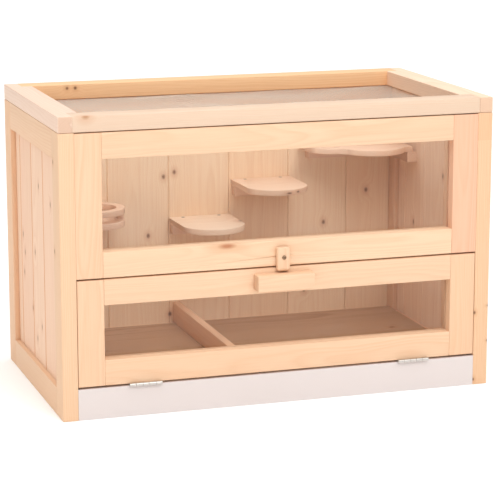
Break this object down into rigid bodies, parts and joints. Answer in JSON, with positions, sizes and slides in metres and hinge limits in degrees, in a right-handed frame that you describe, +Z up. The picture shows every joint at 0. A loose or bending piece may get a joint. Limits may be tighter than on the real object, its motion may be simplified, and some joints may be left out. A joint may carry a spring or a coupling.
{
  "type": "hamster cage",
  "caption": "Wooden small-animal cage with a fixed clear window, a fold-down clear door, a hinged mesh lid, shelves and a bowl holder.",
  "frame": {"origin": "centre of the footprint's bounding box at floor level", "axes": "+X to the right seen from the front (the cage's width), +Y to the back, +Z up; the window and the door face -Y"},
  "size_m": [0.81, 0.4836, 0.54],
  "materials": {
    "planed_fir": "planed, unfinished",
    "board_fir": "planed tongue-and-groove board",
    "sanded_fir": "sanded",
    "white_laminate": "satin white foil on board",
    "clear_acrylic": "clear, polished",
    "zinc_plated_steel": "zinc plated",
    "galvanised_mesh": "galvanised wire",
    "dark_screw": "bronzed"
  },
  "bodies": {
    "cage": {"post_front_left": "planed_fir", "post_front_right": "planed_fir", "post_back_left": "planed_fir", "post_back_right": "planed_fir", "side_top_rail_left": "planed_fir", "side_top_rail_right": "planed_fir", "side_bottom_rail_left": "planed_fir", "side_bottom_rail_right": "planed_fir", "side_boards_left": "board_fir", "side_boards_right": "board_fir", "back_top_rail": "planed_fir", "back_bottom_rail": "planed_fir", "back_boards": "board_fir", "floor_boards": "board_fir", "floor_battens": "board_fir", "plinth": "white_laminate", "divider": "planed_fir", "window_top_rail": "planed_fir", "window_bottom_rail": "planed_fir", "window_stile_left": "planed_fir", "window_stile_right": "planed_fir", "window_pane": "clear_acrylic", "shelf_low": "sanded_fir", "shelf_low_cleat": "sanded_fir", "shelf_middle": "sanded_fir", "shelf_middle_cleat": "sanded_fir", "shelf_high": "sanded_fir", "shelf_high_cleats": "sanded_fir", "shelf_screws": "zinc_plated_steel", "bowl_ring": "sanded_fir", "bowl_base": "sanded_fir", "bowl_spacers": "sanded_fir", "door_hinge_fixed_leaf_left": "zinc_plated_steel", "door_hinge_fixed_leaf_right": "zinc_plated_steel", "door_hinge_pins": "zinc_plated_steel", "door_hinge_fixed_screws": "zinc_plated_steel", "lid_hinge_fixed_leaf_left": "zinc_plated_steel", "lid_hinge_fixed_leaf_right": "zinc_plated_steel", "lid_hinge_pins": "zinc_plated_steel", "lid_hinge_fixed_screws": "zinc_plated_steel", "turn_button_screw": "dark_screw"},
    "door": {"door_top_rail": "planed_fir", "door_bottom_rail": "planed_fir", "door_stile_left": "planed_fir", "door_stile_right": "planed_fir", "door_pane": "clear_acrylic", "door_handle": "planed_fir", "door_hinge_moving_leaf_left": "zinc_plated_steel", "door_hinge_moving_leaf_right": "zinc_plated_steel", "door_hinge_moving_screws": "zinc_plated_steel"},
    "lid": {"lid_front_rail": "planed_fir", "lid_back_rail": "planed_fir", "lid_side_rail_left": "planed_fir", "lid_side_rail_right": "planed_fir", "lid_mesh": "galvanised_mesh", "lid_staples": "zinc_plated_steel", "lid_hinge_moving_leaf_left": "zinc_plated_steel", "lid_hinge_moving_leaf_right": "zinc_plated_steel", "lid_hinge_moving_screws": "zinc_plated_steel"},
    "latch": {"turn_button": "planed_fir"}
  },
  "joints": [
    {"name": "door_swing", "type": "hinge", "parent": "cage", "child": "door", "pos_m": [0, -0.2182, 0.058], "axis": [1, 0, 0], "range_deg": [0, 100]},
    {"name": "lid_swing", "type": "hinge", "parent": "cage", "child": "lid", "pos_m": [0, 0.2386, 0.51175], "axis": [-1, 0, 0], "range_deg": [0, 185]},
    {"name": "button_turn", "type": "hinge", "parent": "cage", "child": "latch", "pos_m": [0, -0.2148, 0.271], "axis": [0, 1, 0], "continuous": true}
  ]
}
